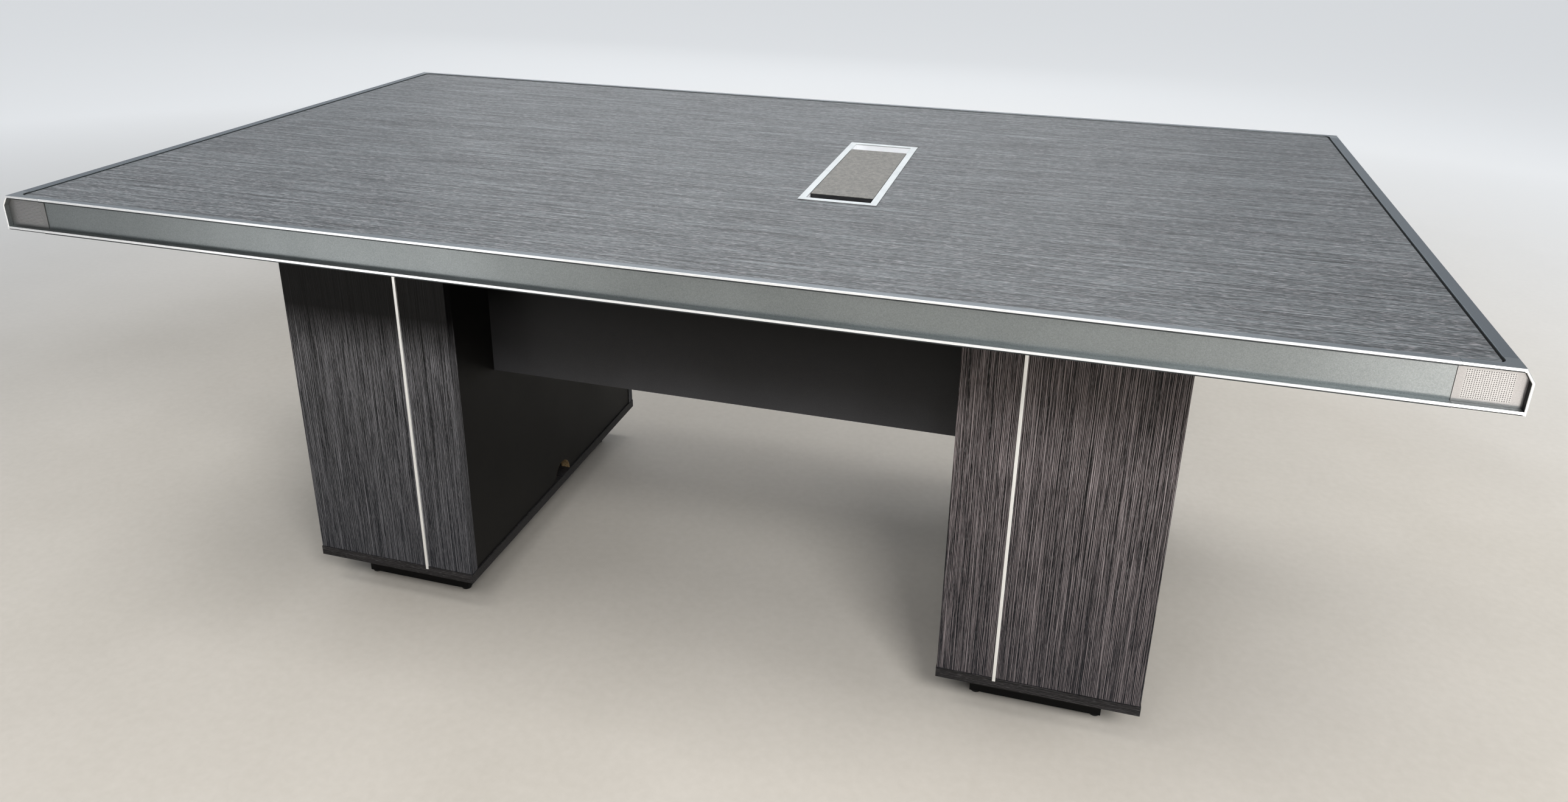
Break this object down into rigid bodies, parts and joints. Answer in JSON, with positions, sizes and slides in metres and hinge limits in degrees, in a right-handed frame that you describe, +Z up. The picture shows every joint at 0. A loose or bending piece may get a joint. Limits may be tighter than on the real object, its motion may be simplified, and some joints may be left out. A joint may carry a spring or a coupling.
{
  "type": "conference table",
  "caption": "Conference table with a dark wood-grain top in an aluminium edge frame, slab box legs, a hollow cable beam and a flip-up power box let into the top.",
  "frame": {"origin": "on the floor under the middle of the table top", "axes": "+X along the table's length, with the power box on the +X half; -Y faces the front long side; +Z up"},
  "size_m": [2, 1.1, 0.76],
  "materials": {
    "top_laminate": "satin dark grey-brown wood-grain laminate",
    "leg_laminate": "charcoal wood-grain laminate",
    "dark_board": "matte brown-black laminated board",
    "raw_board": "bare particle board",
    "plinth_black": "matte black laminated board",
    "satin_aluminium": "satin anodised",
    "bright_aluminium": "bright brushed",
    "grille_aluminium": "perforated, satin",
    "gasket_rubber": "matte black",
    "lid_coat": "fine-textured taupe-grey coat",
    "pin_steel": "ground",
    "black_plastic": "matte black",
    "white_plastic": "white"
  },
  "bodies": {
    "table": {"top_panel": "top_laminate", "edge_channel_front": "satin_aluminium", "batten_front": "raw_board", "edge_channel_back": "satin_aluminium", "batten_back": "raw_board", "end_profile_left": "satin_aluminium", "gasket_left": "gasket_rubber", "batten_left": "raw_board", "leg_batten_left": "raw_board", "corner_casting_front_left": "satin_aluminium", "corner_grille_front_left": "grille_aluminium", "corner_casting_back_left": "satin_aluminium", "corner_grille_back_left": "grille_aluminium", "end_profile_right": "satin_aluminium", "gasket_right": "gasket_rubber", "batten_right": "raw_board", "leg_batten_right": "raw_board", "corner_casting_front_right": "satin_aluminium", "corner_grille_front_right": "grille_aluminium", "corner_casting_back_right": "satin_aluminium", "corner_grille_back_right": "grille_aluminium", "power_frame": "bright_aluminium", "power_tray": "satin_aluminium", "lid_pin_front": "pin_steel", "lid_pin_rear": "pin_steel", "socket_block": "black_plastic", "mains_socket_front": "white_plastic", "mains_socket_middle": "white_plastic", "data_plate": "white_plastic", "leg_left_front_panel": "leg_laminate", "leg_left_front_strip": "bright_aluminium", "leg_left_glide_front_inner": "black_plastic", "leg_left_glide_front_outer": "black_plastic", "leg_left_back_panel": "leg_laminate", "leg_left_back_strip": "bright_aluminium", "leg_left_glide_back_inner": "black_plastic", "leg_left_glide_back_outer": "black_plastic", "leg_left_inner_panel": "dark_board", "leg_left_outer_panel": "dark_board", "leg_left_top_board": "raw_board", "leg_left_base_board": "leg_laminate", "leg_left_plinth": "plinth_black", "leg_right_front_panel": "leg_laminate", "leg_right_front_strip": "bright_aluminium", "leg_right_glide_front_inner": "black_plastic", "leg_right_glide_front_outer": "black_plastic", "leg_right_back_panel": "leg_laminate", "leg_right_back_strip": "bright_aluminium", "leg_right_glide_back_inner": "black_plastic", "leg_right_glide_back_outer": "black_plastic", "leg_right_inner_panel": "dark_board", "leg_right_outer_panel": "dark_board", "leg_right_top_board": "raw_board", "leg_right_base_board": "leg_laminate", "leg_right_plinth": "plinth_black", "beam_panel_front": "dark_board", "beam_panel_back": "dark_board", "beam_floor": "dark_board"},
    "lid": {"power_lid": "lid_coat"}
  },
  "joints": [
    {"name": "lid_hinge", "type": "hinge", "parent": "table", "child": "lid", "pos_m": [0.1498, -0.0075, 0.7547], "axis": [0, -1, 0], "range_deg": [0, 90]}
  ]
}
